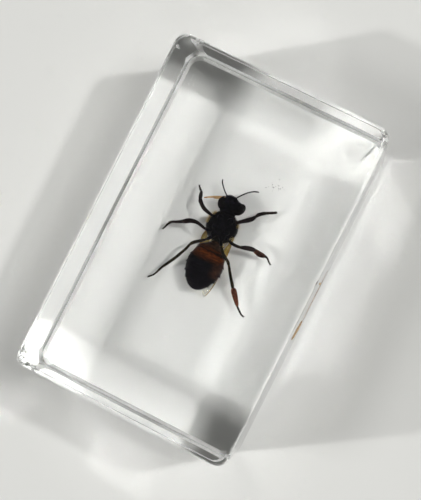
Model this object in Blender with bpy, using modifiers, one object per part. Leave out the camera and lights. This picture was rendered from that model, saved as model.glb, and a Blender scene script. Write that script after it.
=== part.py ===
"""A honeybee cast in a clear rectangular resin block.

The block lies flat on its larger face with its length along Y.  The bee lies on
its back near the bottom of the block, legs spread, head towards +Y.  The clear
block is parted in two a little above the middle of the bee's body, and each half
is hollowed to the bee's own outline.

Sizes below are in millimetres and are turned into metres when meshes are made.
"""

import math

import bmesh
import bpy
from mathutils import Vector

MM = 0.001

# Resin block
BLOCK_WIDTH = 28.0
BLOCK_LENGTH = 44.0
BLOCK_HEIGHT = 17.0
CORNER_RADIUS = 1.5
CORNER_SEGMENTS = 6
TOP_EDGE = 0.65
FOOT_EDGE = 0.45

# How the two halves of the block and the bee keep clear of each other
PARTING_HEIGHT = 4.6
PARTING_GAP = 0.3
POCKET_GAP = 0.4

# The bee's own frame: its origin is at the waist, at the middle of the body's
# thickness, with the head towards +Y and the legs towards +Z
WAIST = Vector((0.04, 1.49, 3.6))
BODY_AXIS_X = 0.08

# Thorax
THORAX_CENTRE = (-0.1, 2.02, 0.0)
THORAX_RADII = (1.9, 1.95, 1.8)

# Head, with its crown between the feelers and a compound eye on each side
NECK = ((-0.34, 3.93, -0.04), (1.09, 0.71, 0.89))
SKULL = ((-0.28, 4.85, 0.0), (1.32, 0.88, 1.1))
CROWN = ((-0.53, 5.37, 0.06), (0.93, 0.61, 0.79))
LEFT_EYE = ((-1.42, 4.68, 0.05), (0.6, 0.86, 0.95), 12.0)
RIGHT_EYE = ((0.88, 4.82, 0.05), (0.62, 0.86, 0.95), -20.0)

# Abdomen, a turned form flattened from back to belly: six plates that overlap
# like tiles, each given by where it starts along Y and its half width there
ABDOMEN_FLATTENING = 0.82
ABDOMEN_STATIONS = (
    (0.85, 0.34),
    (0.15, 0.42),
    (-0.2, 0.6),
    (-0.4, 0.9),
    (-0.88, 1.58),
    (-1.4, 1.9),
    (-1.93, 2.04),
    (-2.45, 2.2),
    (-2.9, 2.3),
    (-3.49, 2.25),
    (-4.02, 2.16),
    (-4.54, 1.98),
    (-5.06, 1.68),
    (-5.59, 1.33),
    (-6.0, 0.95),
    (-6.25, 0.55),
    (-6.36, 0.2),
)
PLATE_ENDS = (-1.25, -2.6, -3.7, -4.7, -5.45)
PLATE_STEP = 0.07
ABDOMEN_SIDES = 22

# Wings, folded back under the body: outlines in the bee's frame, root first
WING_THICKNESS = 0.16
RIGHT_WING_HEIGHT = -1.86
LEFT_WING_HEIGHT = -1.72
RIGHT_WING = (
    (1.3, 2.4), (1.7, 2.1), (1.98, 0.8), (2.06, -0.6), (2.1, -2.4), (2.14, -4.2),
    (1.98, -5.6), (1.6, -6.7), (1.15, -6.25), (0.5, -5.0), (0.0, -3.4), (0.15, -1.4),
    (0.8, 0.6), (1.0, 1.9),
)
LEFT_WING = (
    (-1.45, 2.4), (-1.1, 1.9), (-0.9, 1.0), (-0.4, -0.3), (0.4, -2.4), (0.75, -4.4),
    (0.75, -5.8), (0.4, -6.2), (-0.5, -5.6), (-1.25, -4.4), (-1.7, -2.6), (-1.85, -1.2),
    (-2.1, 0.2), (-1.95, 1.6),
)

# Legs, feelers, tongue and wing roots: (x, y, z, radius) along each from its root
FRONT_LEFT_LEG = (
    (-0.9, 2.6, 0.9, 0.3), (-1.6, 2.68, 1.2, 0.19), (-2.22, 2.78, 1.3, 0.2),
    (-3.0, 3.0, 1.2, 0.25), (-3.6, 3.4, 0.9, 0.25), (-3.98, 3.78, 0.6, 0.22),
    (-4.22, 4.25, 0.1, 0.22), (-4.38, 4.65, -0.4, 0.19), (-4.55, 4.85, -0.8, 0.1),
    (-4.8, 5.02, -1.25, 0.09), (-5.09, 5.34, -1.55, 0.07),
)
MIDDLE_LEFT_LEG = (
    (-0.9, 1.1, 0.9, 0.3), (-1.6, 0.85, 1.25, 0.18), (-2.2, 0.95, 1.35, 0.18),
    (-2.85, 1.08, 1.25, 0.22), (-3.5, 1.05, 1.0, 0.24), (-4.15, 0.82, 0.6, 0.25),
    (-4.65, 0.5, 0.15, 0.2), (-5.4, 0.12, -0.55, 0.18), (-6.1, -0.18, -1.15, 0.14),
    (-6.42, -0.58, -1.45, 0.1), (-6.6, -1.05, -1.7, 0.08), (-6.77, -1.4, -1.85, 0.07),
)
HIND_LEFT_LEG = (
    (-0.5, 0.6, 0.9, 0.3), (-1.0, -0.2, 1.5, 0.19), (-1.5, -0.65, 1.72, 0.19),
    (-2.15, -1.15, 1.6, 0.18), (-2.55, -1.62, 1.35, 0.15), (-2.82, -2.35, 0.8, 0.15),
    (-3.2, -3.1, 0.25, 0.17), (-3.55, -3.82, -0.2, 0.19), (-3.92, -4.45, -0.55, 0.18),
    (-4.35, -5.17, -0.95, 0.2), (-4.72, -5.8, -1.25, 0.14), (-4.94, -6.4, -1.45, 0.09),
    (-5.2, -6.95, -1.65, 0.08), (-5.72, -7.5, -1.85, 0.07),
)
FRONT_RIGHT_LEG = (
    (0.8, 2.9, 0.9, 0.3), (1.2, 3.1, 1.15, 0.2), (1.6, 3.4, 1.25, 0.21), (2.0, 3.74, 1.2, 0.24),
    (2.42, 4.08, 0.95, 0.29), (2.8, 4.47, 0.65, 0.27), (3.02, 4.88, 0.35, 0.2),
    (3.22, 5.28, 0.05, 0.23), (3.53, 5.6, -0.3, 0.19), (3.95, 5.92, -0.7, 0.13),
    (4.48, 6.23, -1.1, 0.13), (4.95, 6.54, -1.4, 0.11),
)
MIDDLE_RIGHT_LEG = (
    (0.8, 1.2, 0.9, 0.3), (1.3, 0.85, 1.2, 0.18), (1.86, 0.72, 1.35, 0.19),
    (2.4, 0.66, 1.3, 0.19), (3.0, 0.72, 1.1, 0.2), (3.64, 0.95, 0.75, 0.26),
    (4.25, 1.14, 0.3, 0.27), (4.72, 1.2, -0.02, 0.2), (4.95, 1.13, -0.2, 0.27),
    (5.42, 1.06, -0.55, 0.32), (5.9, 1.1, -0.9, 0.28), (6.12, 1.14, -1.1, 0.1),
    (6.46, 1.05, -1.35, 0.09), (6.78, 0.76, -1.6, 0.08), (7.09, 0.53, -1.85, 0.07),
)
HIND_RIGHT_LEG = (
    (0.5, 0.6, 0.9, 0.3), (0.95, -0.15, 1.5, 0.19), (1.4, -0.7, 1.7, 0.19),
    (1.9, -1.12, 1.65, 0.2), (2.5, -1.48, 1.45, 0.19), (2.82, -1.84, 1.2, 0.18),
    (3.24, -2.46, 0.8, 0.18), (3.74, -3.18, 0.3, 0.19), (4.2, -3.8, -0.1, 0.21),
    (4.38, -4.06, -0.25, 0.17), (4.6, -4.3, -0.38, 0.33), (5.05, -4.85, -0.65, 0.36),
    (5.5, -5.42, -0.95, 0.33), (5.72, -5.7, -1.1, 0.17), (5.86, -5.88, -1.2, 0.09),
    (6.25, -6.21, -1.45, 0.09), (6.62, -6.5, -1.7, 0.08), (6.99, -6.63, -1.85, 0.07),
)
LEFT_FEELER = (
    (-1.05, 5.45, 0.3, 0.1), (-1.28, 5.66, 0.25, 0.08), (-1.69, 5.95, 0.0, 0.08),
    (-2.14, 6.36, -0.4, 0.08), (-2.6, 6.85, -0.8, 0.08), (-2.8, 7.26, -1.0, 0.07),
)
RIGHT_FEELER = (
    (-0.2, 5.6, 0.3, 0.1), (-0.08, 5.95, 0.2, 0.08), (0.28, 6.5, 0.0, 0.08),
    (0.78, 7.1, -0.3, 0.08), (1.28, 7.52, -0.6, 0.09), (1.62, 7.7, -0.8, 0.09),
    (1.94, 7.8, -0.95, 0.07),
)
TONGUE = (
    (-1.35, 5.3, 0.5, 0.16), (-1.95, 5.15, 0.4, 0.14), (-2.45, 4.95, 0.2, 0.13),
    (-3.1, 4.62, -0.1, 0.11), (-3.78, 4.24, -0.4, 0.07),
)
RIGHT_WING_ROOT = (
    (1.2, 2.6, -0.7, 0.25), (1.5, 2.3, -1.3, 0.2), (1.5, 1.8, -1.86, 0.14),
)
LEFT_WING_ROOT = (
    (-1.2, 2.6, -0.7, 0.25), (-1.55, 2.3, -1.2, 0.2), (-1.5, 1.8, -1.72, 0.14),
)

LIMBS = {
    "front_left_leg": FRONT_LEFT_LEG,
    "middle_left_leg": MIDDLE_LEFT_LEG,
    "hind_left_leg": HIND_LEFT_LEG,
    "front_right_leg": FRONT_RIGHT_LEG,
    "middle_right_leg": MIDDLE_RIGHT_LEG,
    "hind_right_leg": HIND_RIGHT_LEG,
    "left_feeler": LEFT_FEELER,
    "right_feeler": RIGHT_FEELER,
    "tongue": TONGUE,
    "right_wing_root": RIGHT_WING_ROOT,
    "left_wing_root": LEFT_WING_ROOT,
}

# Faces around a limb and a body form, finer on the bee than in its pocket
BEE_DETAIL = {"limb": 2, "around": 16, "rings": 12, "wing": 2}
POCKET_DETAIL = {"limb": 1, "around": 12, "rings": 8, "wing": 1}

RESIN_COLOUR = (0.95, 0.96, 0.93, 1.0)
BEE_COLOUR = (0.035, 0.02, 0.014, 1.0)


def clear_scene():
    for item in list(bpy.data.objects):
        bpy.data.objects.remove(item)


def new_collection(name):
    group = bpy.data.collections.new(name)
    bpy.context.scene.collection.children.link(group)
    return group


def make_material(name, colour, roughness, transmission=0.0):
    material = bpy.data.materials.new(name)
    material.use_nodes = True
    shader = material.node_tree.nodes["Principled BSDF"]
    shader.inputs["Base Color"].default_value = colour
    shader.inputs["Roughness"].default_value = roughness
    shader.inputs["Metallic"].default_value = 0.0
    shader.inputs["Transmission Weight"].default_value = transmission
    material.diffuse_color = colour
    return material


def add_object(name, mesh, group):
    item = bpy.data.objects.new(name, mesh)
    group.objects.link(item)
    return item


def as_guide(item):
    """A form that only cuts or joins another one."""
    item.hide_render = True
    item.display_type = "WIRE"


def join_by_union(base, pieces):
    for piece in pieces:
        union = base.modifiers.new("union_" + piece.name, "BOOLEAN")
        union.operation = "UNION"
        union.solver = "EXACT"
        union.object = piece


# ---------------------------------------------------------------- bee forms

def ellipsoid(name, centre, radii, turn_degrees, grow, detail, group):
    bm = bmesh.new()
    bmesh.ops.create_uvsphere(
        bm, u_segments=detail["around"], v_segments=detail["rings"], radius=1.0)
    size = Vector([(radius + grow) * MM for radius in radii])
    bmesh.ops.scale(bm, vec=size, verts=bm.verts)
    mesh = bpy.data.meshes.new(name)
    bm.to_mesh(mesh)
    bm.free()
    mesh.shade_smooth()
    item = add_object(name, mesh, group)
    item.location = (WAIST + Vector(centre)) * MM
    item.rotation_euler.z = math.radians(turn_degrees)
    return item


def abdomen_profile(grow):
    """Half widths along the abdomen, with a small step where each plate ends."""
    points = [(grow * 0.3, ABDOMEN_STATIONS[0][0] + grow)]
    stations = list(ABDOMEN_STATIONS)
    for place in PLATE_ENDS:
        before = max((s for s in stations if s[0] > place), key=lambda s: -s[0])
        after = max((s for s in stations if s[0] <= place), key=lambda s: s[0])
        share = (before[0] - place) / (before[0] - after[0])
        width = before[1] + share * (after[1] - before[1])
        stations += [(place, width + PLATE_STEP), (place - 0.03, width)]
    for place, half_width in sorted(stations, reverse=True):
        points.append((half_width + grow, place))
    points.append((0.0, ABDOMEN_STATIONS[-1][0] - 0.04 - grow))
    points[0] = (0.0, points[0][1])
    return points


def abdomen(name, grow, group):
    """The profile runs at +X from the waist to the tip and turns about Y."""
    profile = abdomen_profile(grow)
    mesh = bpy.data.meshes.new(name)
    edges = [(i, i + 1) for i in range(len(profile) - 1)]
    mesh.from_pydata([(x * MM, y * MM, 0.0) for x, y in profile], edges, [])
    item = add_object(name, mesh, group)
    turn = item.modifiers.new("turn", "SCREW")
    turn.axis = "Y"
    turn.angle = 2.0 * math.pi
    turn.steps = ABDOMEN_SIDES
    turn.render_steps = ABDOMEN_SIDES
    turn.use_merge_vertices = True
    turn.merge_threshold = 0.00001
    item.location = (WAIST + Vector((BODY_AXIS_X, 0.0, 0.0))) * MM
    item.scale.z = ABDOMEN_FLATTENING
    return item


def mesh_from_curve(name, curve, group):
    """The curve's solid as a mesh object with its caps welded on."""
    source = add_object(name + "_curve", curve, group)
    bpy.context.view_layer.update()
    evaluated = source.evaluated_get(bpy.context.evaluated_depsgraph_get())
    mesh = bpy.data.meshes.new_from_object(evaluated)
    mesh.name = name
    bm = bmesh.new()
    bm.from_mesh(mesh)
    bmesh.ops.remove_doubles(bm, verts=bm.verts, dist=0.000002)
    bmesh.ops.recalc_face_normals(bm, faces=bm.faces)
    bm.to_mesh(mesh)
    bm.free()
    item = add_object(name, mesh, group)
    item.matrix_world = source.matrix_world
    bpy.data.objects.remove(source)
    return item


def limb(name, points, grow, detail, group):
    """A tapering tube through the limb's points."""
    curve = bpy.data.curves.new(name, "CURVE")
    curve.dimensions = "3D"
    curve.bevel_depth = MM
    curve.bevel_resolution = detail["limb"]
    curve.use_fill_caps = True
    path = curve.splines.new("POLY")
    path.points.add(len(points) - 1)
    for target, (x, y, z, radius) in zip(path.points, points):
        target.co = (*(WAIST + Vector((x, y, z))) * MM, 1.0)
        target.radius = radius + grow
    return mesh_from_curve(name, curve, group)


def wing(name, outline, height, grow, detail, group):
    """A flat plate with a smooth outline."""
    curve = bpy.data.curves.new(name, "CURVE")
    curve.dimensions = "2D"
    curve.fill_mode = "BOTH"
    curve.extrude = (WING_THICKNESS / 2.0 + grow) * MM
    curve.resolution_u = detail["wing"]
    centre = sum((Vector(p) for p in outline), Vector((0.0, 0.0))) / len(outline)
    path = curve.splines.new("BEZIER")
    path.bezier_points.add(len(outline) - 1)
    for target, (x, y) in zip(path.bezier_points, outline):
        outward = (Vector((x, y)) - centre).normalized() * grow
        spot = WAIST + Vector((x + outward.x, y + outward.y, 0.0))
        target.co = (spot.x * MM, spot.y * MM, 0.0)
        target.handle_left_type = "AUTO"
        target.handle_right_type = "AUTO"
    path.use_cyclic_u = True
    item = mesh_from_curve(name, curve, group)
    item.location.z = (WAIST.z + height) * MM
    return item


def bee(name, grow, detail, group, guides):
    """The whole insect as one body, every form enlarged by grow."""
    trunk = ellipsoid(name, THORAX_CENTRE, THORAX_RADII, 0.0, grow, detail, group)
    pieces = [abdomen(name + "_abdomen", grow, guides)]
    forms = {"neck": (*NECK, 0.0), "skull": (*SKULL, 0.0), "crown": (*CROWN, 0.0),
             "left_eye": LEFT_EYE, "right_eye": RIGHT_EYE}
    for part, (centre, radii, turn) in forms.items():
        pieces.append(
            ellipsoid(name + "_" + part, centre, radii, turn, grow, detail, guides))
    for part, points in LIMBS.items():
        pieces.append(limb(name + "_" + part, points, grow, detail, guides))
    pieces.append(wing(
        name + "_right_wing", RIGHT_WING, RIGHT_WING_HEIGHT, grow, detail, guides))
    pieces.append(wing(
        name + "_left_wing", LEFT_WING, LEFT_WING_HEIGHT, grow, detail, guides))
    for piece in pieces:
        as_guide(piece)
    join_by_union(trunk, pieces)
    return trunk


# ------------------------------------------------------------ resin halves

def perimeter_edges(bm, height):
    """The edges that run round the block at this height."""
    return [edge for edge in bm.edges
            if all(abs(vert.co.z - height) < 1e-6 for vert in edge.verts)]


def upright_edges(bm):
    return [edge for edge in bm.edges
            if abs(edge.verts[0].co.z - edge.verts[1].co.z) > 1e-6]


def ease_top(bm):
    bmesh.ops.bevel(
        bm, geom=perimeter_edges(bm, BLOCK_HEIGHT * MM), offset=TOP_EDGE * MM,
        segments=2, profile=0.5, affect="EDGES")


def slant_foot(bm):
    bmesh.ops.bevel(
        bm, geom=perimeter_edges(bm, 0.0), offset=FOOT_EDGE * MM,
        segments=1, affect="EDGES")


def block_half(name, low, high, ease, group):
    """A slab of the block between two heights, with its outer edge eased."""
    bm = bmesh.new()
    bmesh.ops.create_cube(bm, size=1.0)
    size = Vector((BLOCK_WIDTH, BLOCK_LENGTH, high - low)) * MM
    bmesh.ops.scale(bm, vec=size, verts=bm.verts)
    middle = Vector((0.0, 0.0, (low + high) / 2.0)) * MM
    bmesh.ops.translate(bm, vec=middle, verts=bm.verts)
    bmesh.ops.bevel(
        bm, geom=upright_edges(bm), offset=CORNER_RADIUS * MM,
        segments=CORNER_SEGMENTS, profile=0.5, affect="EDGES")
    ease(bm)
    mesh = bpy.data.meshes.new(name)
    bm.to_mesh(mesh)
    bm.free()
    return add_object(name, mesh, group)


def hollow_out(half, pocket):
    cut = half.modifiers.new("pocket", "BOOLEAN")
    cut.operation = "DIFFERENCE"
    cut.solver = "EXACT"
    cut.object = pocket


def main():
    clear_scene()
    parts = new_collection("insect_in_resin_block")
    guides = new_collection("guides")
    resin = make_material("clear_resin", RESIN_COLOUR, 0.02, transmission=1.0)
    body = make_material("bee_brown", BEE_COLOUR, 0.55)

    insect = bee("honeybee", 0.0, BEE_DETAIL, parts, guides)
    insect.data.materials.append(body)

    pocket = bee("pocket", POCKET_GAP, POCKET_DETAIL, guides, guides)
    as_guide(pocket)

    half_gap = PARTING_GAP / 2.0
    halves = (
        block_half("resin_lower_half", 0.0, PARTING_HEIGHT - half_gap, slant_foot, parts),
        block_half("resin_upper_half", PARTING_HEIGHT + half_gap, BLOCK_HEIGHT,
                   ease_top, parts),
    )
    for half in halves:
        half.data.materials.append(resin)
        hollow_out(half, pocket)


main()
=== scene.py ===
"""A honeybee in a clear resin block, seen almost straight from above on a pale table.

Lengths are in millimetres and are turned into metres with MM; only the scale of
a texture counts per metre.  The bee lies on its back: +Z is its belly side and
+Y its head.
"""

import math
import random

import bmesh
import bpy
from mathutils import Matrix, Vector, noise


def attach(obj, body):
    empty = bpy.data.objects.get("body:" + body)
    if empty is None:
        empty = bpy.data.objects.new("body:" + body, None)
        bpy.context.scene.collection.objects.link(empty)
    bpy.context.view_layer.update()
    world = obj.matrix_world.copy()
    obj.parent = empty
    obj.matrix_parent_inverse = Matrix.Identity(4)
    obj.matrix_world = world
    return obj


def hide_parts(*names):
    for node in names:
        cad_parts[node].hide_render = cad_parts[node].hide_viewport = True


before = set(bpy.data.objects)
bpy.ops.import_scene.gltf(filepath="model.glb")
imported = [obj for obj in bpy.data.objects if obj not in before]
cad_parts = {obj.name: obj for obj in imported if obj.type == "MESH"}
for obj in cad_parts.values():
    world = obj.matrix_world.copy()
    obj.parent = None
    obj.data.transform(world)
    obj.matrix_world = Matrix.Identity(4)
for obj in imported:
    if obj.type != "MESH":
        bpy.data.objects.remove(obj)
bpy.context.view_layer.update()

MM = 0.001
RNG = random.Random(7)

# The block: how far its top edge is eased and its foot slanted, and how far the
# walls lean in at the foot
BLOCK = Vector((28.0, 44.0, 17.0))
CORNER_RADIUS = 1.5
TOP_EDGE = 0.65
FOOT_EDGE = 0.43
TAPER = 0.55
RESIN_IOR = 1.5
# Surfaces that lie in the resin have little gloss
IN_RESIN_IOR = 1.12

# The bee's own frame has its origin at the waist
WAIST = Vector((0.04, 1.49, 3.6))
UP = Vector((0.0, 0.0, 1.0))


# ------------------------------------------------------------------ helpers

def world_point(p):
    """A point of the bee's frame in mm, in metres."""
    return (WAIST + Vector(p)) * MM


def finish_piece(name, bm, material, smooth=True, replaces="honeybee"):
    """Turn bm into a piece of the object; it stands for the node in replaces."""
    mesh = bpy.data.meshes.new(name)
    bm.to_mesh(mesh)
    bm.free()
    if smooth:
        mesh.shade_smooth()
    return finish_mesh(name, mesh, material, replaces)


def finish_mesh(name, mesh, material, replaces="honeybee"):
    piece = bpy.data.objects.new(name, mesh)
    bpy.context.scene.collection.objects.link(piece)
    mesh.materials.append(material)
    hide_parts(replaces)
    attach(piece, "root")
    return piece


def lerp(a, b, t):
    return a + (b - a) * t


def catmull(points, samples):
    """Points along a smooth curve through the given 4-vectors (x, y, z, r)."""
    pts = [Vector(p) for p in points]
    pts = [pts[0] * 2 - pts[1]] + pts + [pts[-1] * 2 - pts[-2]]
    out = []
    for i in range(1, len(pts) - 2):
        p0, p1, p2, p3 = pts[i - 1:i + 3]
        for k in range(samples):
            t = k / samples
            out.append(0.5 * (
                2 * p1 + (p2 - p0) * t + (2 * p0 - 5 * p1 + 4 * p2 - p3) * t * t
                + (3 * p1 - p0 - 3 * p2 + p3) * t * t * t))
    out.append(pts[-2].copy())
    return out


def add_tube(bm, stations, sides, flat=1.0):
    """A closed lofted tube through (centre, radius) stations, in the bee's frame.

    flat is the tube's thickness towards UP as a share of its width.
    """
    rings = []
    for i, (centre, radius) in enumerate(stations):
        before = stations[max(i - 1, 0)][0]
        after = stations[min(i + 1, len(stations) - 1)][0]
        along = (after - before).normalized()
        side = along.cross(UP)
        if side.length < 1e-4:
            side = along.cross(Vector((1.0, 0.0, 0.0)))
        side.normalize()
        up = side.cross(along).normalized()
        ring = []
        for k in range(sides):
            angle = 2.0 * math.pi * k / sides
            offset = side * math.cos(angle) * radius + up * math.sin(angle) * radius * flat
            ring.append(bm.verts.new(world_point(centre + offset)))
        rings.append(ring)
    for a, b in zip(rings, rings[1:]):
        for k in range(sides):
            bm.faces.new((a[k], a[(k + 1) % sides], b[(k + 1) % sides], b[k]))
    for ring, point, flip in (
            (rings[0], stations[0][0], True), (rings[-1], stations[-1][0], False)):
        tip = bm.verts.new(world_point(point))
        for k in range(sides):
            face = (ring[k], ring[(k + 1) % sides], tip)
            bm.faces.new(face if not flip else tuple(reversed(face)))


def add_ellipsoid(bm, centre, radii, turn, around=32, rings=20):
    """An ellipsoid in the bee's frame, turned about Z by turn degrees."""
    made = bmesh.ops.create_uvsphere(bm, u_segments=around, v_segments=rings, radius=1.0)
    matrix = (Matrix.Translation(world_point(centre))
              @ Matrix.Rotation(math.radians(turn), 4, "Z")
              @ Matrix.Diagonal((*(Vector(radii) * MM), 1.0)))
    bmesh.ops.transform(bm, matrix=matrix, verts=made["verts"])


def add_hair(bm, root, direction, length, radius, droop):
    """One tapering hair, bent along droop, as a three-sided spike."""
    direction = direction.normalized()
    side = direction.orthogonal().normalized()
    other = direction.cross(side)
    middle = root + direction * length * 0.55 + droop * length * 0.12
    tip = root + direction * length + droop * length * 0.45
    base = []
    waist = []
    for k in range(3):
        angle = 2.0 * math.pi * k / 3
        spoke = side * math.cos(angle) + other * math.sin(angle)
        base.append(bm.verts.new(world_point(root + spoke * radius)))
        waist.append(bm.verts.new(world_point(middle + spoke * radius * 0.6)))
    point = bm.verts.new(world_point(tip))
    for k in range(3):
        j = (k + 1) % 3
        bm.faces.new((base[k], base[j], waist[j], waist[k]))
        bm.faces.new((waist[k], waist[j], point))


def random_unit():
    """A random direction."""
    z = RNG.uniform(-1.0, 1.0)
    a = RNG.uniform(0.0, 2.0 * math.pi)
    r = math.sqrt(1.0 - z * z)
    return Vector((r * math.cos(a), r * math.sin(a), z))


# ---------------------------------------------------------------- materials

NOISE_ROUGHNESS = 0.55
SHELL_ROUGHNESS = 0.4
HAIR_ROUGHNESS = 0.6
PIT_DEPTH = 0.01
EYE_IOR = 1.16

# The frosted slant round the foot: the heights in mm over which it comes in
# and fades out, and how rough it is
FROST_IN = (0.002, 0.02)
FROST_OUT = (0.42, 0.6)
FROST_ROUGHNESS = 0.32
RESIN_TINT = (0.93, 0.97, 0.90)
RESIN_TINT_DENSITY = 4.0

# The abdomen's colours: from where to where they run along the block's Y, and the
# stops between, from the tail (0) to the waist (1)
BANDS_FROM, BANDS_TO = -4.5, 2.5
BANDS = (
    (0.0, (0.006, 0.005, 0.008)), (0.45, (0.006, 0.005, 0.008)),
    (0.495, (0.020, 0.008, 0.005)), (0.545, (0.072, 0.020, 0.006)),
    (0.60, (0.125, 0.034, 0.007)), (0.640, (0.100, 0.025, 0.006)),
    (0.655, (0.020, 0.007, 0.004)), (0.680, (0.030, 0.010, 0.005)),
    (0.70, (0.075, 0.020, 0.005)), (0.725, (0.050, 0.018, 0.008)),
    (0.76, (0.060, 0.032, 0.018)), (0.86, (0.080, 0.048, 0.030)),
)
BAND_WOBBLE = 0.7
FLANK = (0.062, 0.026, 0.016)


def new_material(name):
    material = bpy.data.materials.new(name)
    material.use_nodes = True
    tree = material.node_tree
    return material, tree, tree.nodes["Principled BSDF"]


def set_gloss(shader, roughness, ior=IN_RESIN_IOR):
    shader.inputs["Roughness"].default_value = roughness
    shader.inputs["IOR"].default_value = ior


def object_coordinates(tree):
    for node in tree.nodes:
        if node.type == "TEX_COORD":
            return node.outputs["Object"]
    return tree.nodes.new("ShaderNodeTexCoord").outputs["Object"]


def object_xyz(tree):
    """The X, Y and Z outputs of the object coordinates, in metres."""
    node = tree.nodes.new("ShaderNodeSeparateXYZ")
    tree.links.new(object_coordinates(tree), node.inputs["Vector"])
    return node.outputs


def scaled_coordinates(tree, scale):
    node = tree.nodes.new("ShaderNodeVectorMath")
    node.operation = "MULTIPLY"
    node.inputs[1].default_value = scale
    tree.links.new(object_coordinates(tree), node.inputs[0])
    return node.outputs[0]


def noise_node(tree, scale, detail=4.0, vector=None):
    node = tree.nodes.new("ShaderNodeTexNoise")
    node.inputs["Scale"].default_value = scale
    node.inputs["Detail"].default_value = detail
    node.inputs["Roughness"].default_value = NOISE_ROUGHNESS
    tree.links.new(vector or object_coordinates(tree), node.inputs["Vector"])
    return node.outputs["Fac"]


def math_node(tree, operation, a, b):
    node = tree.nodes.new("ShaderNodeMath")
    node.operation = operation
    for socket, value in zip(node.inputs, (a, b)):
        if isinstance(value, (int, float)):
            socket.default_value = value
        else:
            tree.links.new(value, socket)
    return node.outputs[0]


def map_range(tree, value, low, high, to_low=0.0, to_high=1.0, curve="SMOOTHSTEP"):
    node = tree.nodes.new("ShaderNodeMapRange")
    node.interpolation_type = curve
    tree.links.new(value, node.inputs["Value"])
    for socket, number in zip(node.inputs[1:5], (low, high, to_low, to_high)):
        socket.default_value = number
    return node.outputs["Result"]


def ramp(tree, factor, stops):
    """Colours by factor; stops are (place from 0 to 1, colour)."""
    node = tree.nodes.new("ShaderNodeValToRGB")
    elements = node.color_ramp.elements
    while len(elements) < len(stops):
        elements.new(0.5)
    for element, (place, colour) in zip(elements, stops):
        element.position = place
        element.color = (*colour, 1.0)
    tree.links.new(factor, node.inputs["Fac"])
    return node.outputs["Color"]


def bump(tree, height, distance, strength=1.0):
    node = tree.nodes.new("ShaderNodeBump")
    node.inputs["Strength"].default_value = strength
    node.inputs["Distance"].default_value = distance
    tree.links.new(height, node.inputs["Height"])
    return node.outputs["Normal"]


def mix(tree, factor, a, b, blend="MIX"):
    """Two colours mixed; each value is a number, a colour or a socket."""
    node = tree.nodes.new("ShaderNodeMix")
    node.data_type = "RGBA"
    node.blend_type = blend
    for socket, value in ((node.inputs["Factor"], factor), (node.inputs["A"], a),
                          (node.inputs["B"], b)):
        if isinstance(value, (int, float)):
            socket.default_value = value
        elif isinstance(value, tuple):
            socket.default_value = (*value, 1.0)
        else:
            tree.links.new(value, socket)
    return node.outputs["Result"]


def chitin(name, dark, light, scale):
    """Hard shell: two tones in fine blotches, with fine pits.

    It sits in resin of nearly its own refractive index, so it has little gloss.
    """
    material, tree, shader = new_material(name)
    blotch = noise_node(tree, scale)
    tree.links.new(
        ramp(tree, blotch, ((0.35, dark), (0.65, light))), shader.inputs["Base Color"])
    pits = noise_node(tree, scale * 9.0, 2.0)
    tree.links.new(bump(tree, pits, PIT_DEPTH * MM), shader.inputs["Normal"])
    set_gloss(shader, SHELL_ROUGHNESS)
    return material


def resin_material():
    """Clear polished resin, with a frosted slant round its foot."""
    material, tree, shader = new_material("clear_resin")
    shader.inputs["Base Color"].default_value = (1.0, 1.0, 1.0, 1.0)
    height = object_xyz(tree)["Z"]
    foot = math_node(
        tree, "MULTIPLY",
        map_range(tree, height, FROST_IN[0] * MM, FROST_IN[1] * MM),
        map_range(tree, height, FROST_OUT[0] * MM, FROST_OUT[1] * MM, 1.0, 0.0))
    tree.links.new(
        math_node(tree, "MULTIPLY", foot, FROST_ROUGHNESS), shader.inputs["Roughness"])
    shader.inputs["IOR"].default_value = RESIN_IOR
    shader.inputs["Transmission Weight"].default_value = 1.0
    tint = tree.nodes.new("ShaderNodeVolumeAbsorption")
    tint.inputs["Color"].default_value = (*RESIN_TINT, 1.0)
    tint.inputs["Density"].default_value = RESIN_TINT_DENSITY
    tree.links.new(tint.outputs["Volume"], tree.nodes["Material Output"].inputs["Volume"])
    return material


def abdomen_material():
    """Bands from the waist to the tail: purple brown, two orange brown, blue black."""
    material, tree, shader = new_material("bee_abdomen")
    place = object_xyz(tree)
    squash = scaled_coordinates(tree, (0.3, 1.0, 0.3))
    warp = noise_node(tree, 2600.0, 3.0, squash)
    wobble = math_node(
        tree, "MULTIPLY", math_node(tree, "SUBTRACT", warp, 0.5), BAND_WOBBLE * MM)
    along = map_range(tree, math_node(tree, "ADD", place["Y"], wobble),
                      BANDS_FROM * MM, BANDS_TO * MM, curve="LINEAR")
    bands = ramp(tree, along, BANDS)
    flank = math_node(
        tree, "MULTIPLY", map_range(tree, place["X"], 0.8 * MM, 1.9 * MM),
        math_node(tree, "MULTIPLY", map_range(tree, place["Y"], -3.1 * MM, -2.2 * MM),
                  map_range(tree, place["Y"], -0.5 * MM, -1.1 * MM)))
    bands = mix(tree, flank, bands, FLANK)
    streaks = noise_node(tree, 6500.0, 5.0, squash)
    shade = ramp(tree, streaks, ((0.32, (0.35, 0.35, 0.4)), (0.68, (1.45, 1.35, 1.3))))
    tree.links.new(mix(tree, 1.0, bands, shade, "MULTIPLY"), shader.inputs["Base Color"])
    fine = noise_node(tree, 16000.0, 2.0)
    tree.links.new(bump(tree, fine, PIT_DEPTH * MM), shader.inputs["Normal"])
    set_gloss(shader, 0.36)
    return material


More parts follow.
